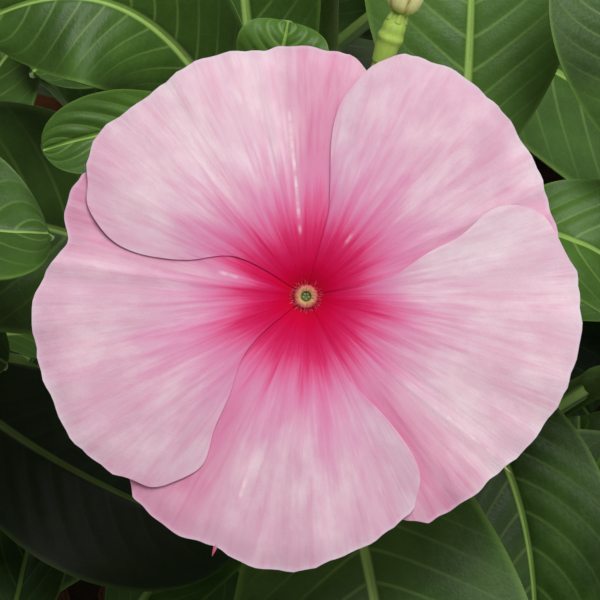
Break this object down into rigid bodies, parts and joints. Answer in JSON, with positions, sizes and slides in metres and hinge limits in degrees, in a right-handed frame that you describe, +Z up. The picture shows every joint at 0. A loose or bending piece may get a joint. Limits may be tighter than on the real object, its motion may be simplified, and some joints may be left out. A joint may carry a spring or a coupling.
{
  "type": "potted madagascar periwinkle",
  "caption": "Bushy flowering plant in a plain round tapered terracotta pot: flat pink pinwheel blooms and buds over glossy oval leaves on upright stems.",
  "frame": {"origin": "centre of the pot's underside, where it rests", "axes": "+Z up along the pot's axis, -Y towards the side that the largest bloom is tipped to, +X to the right seen from there"},
  "size_m": [0.1939, 0.181, 0.2515],
  "materials": {
    "terracotta": "matte",
    "soil": "matte",
    "leaf": "satin",
    "petal": "matte",
    "eye": "matte",
    "bud": "satin"
  },
  "bodies": {
    "root": {"pot": "terracotta", "soil": "soil", "stem_centre": "leaf", "stem_left": "leaf", "stem_right": "leaf", "stem_back_left": "leaf", "stem_back_right": "leaf", "stem_back": "leaf", "stem_front_left": "leaf", "stem_front_right": "leaf", "bloom_centre": "petal", "bloom_left": "petal", "bloom_right": "petal", "bloom_back_left": "petal", "bloom_back": "petal", "bloom_front_right": "petal", "eye_centre": "eye", "eye_left": "eye", "eye_right": "eye", "eye_back_left": "eye", "eye_back": "eye", "eye_front_right": "eye", "bud_centre": "bud", "bud_back_right": "bud", "bud_front_left": "bud"}
  },
  "joints": []
}
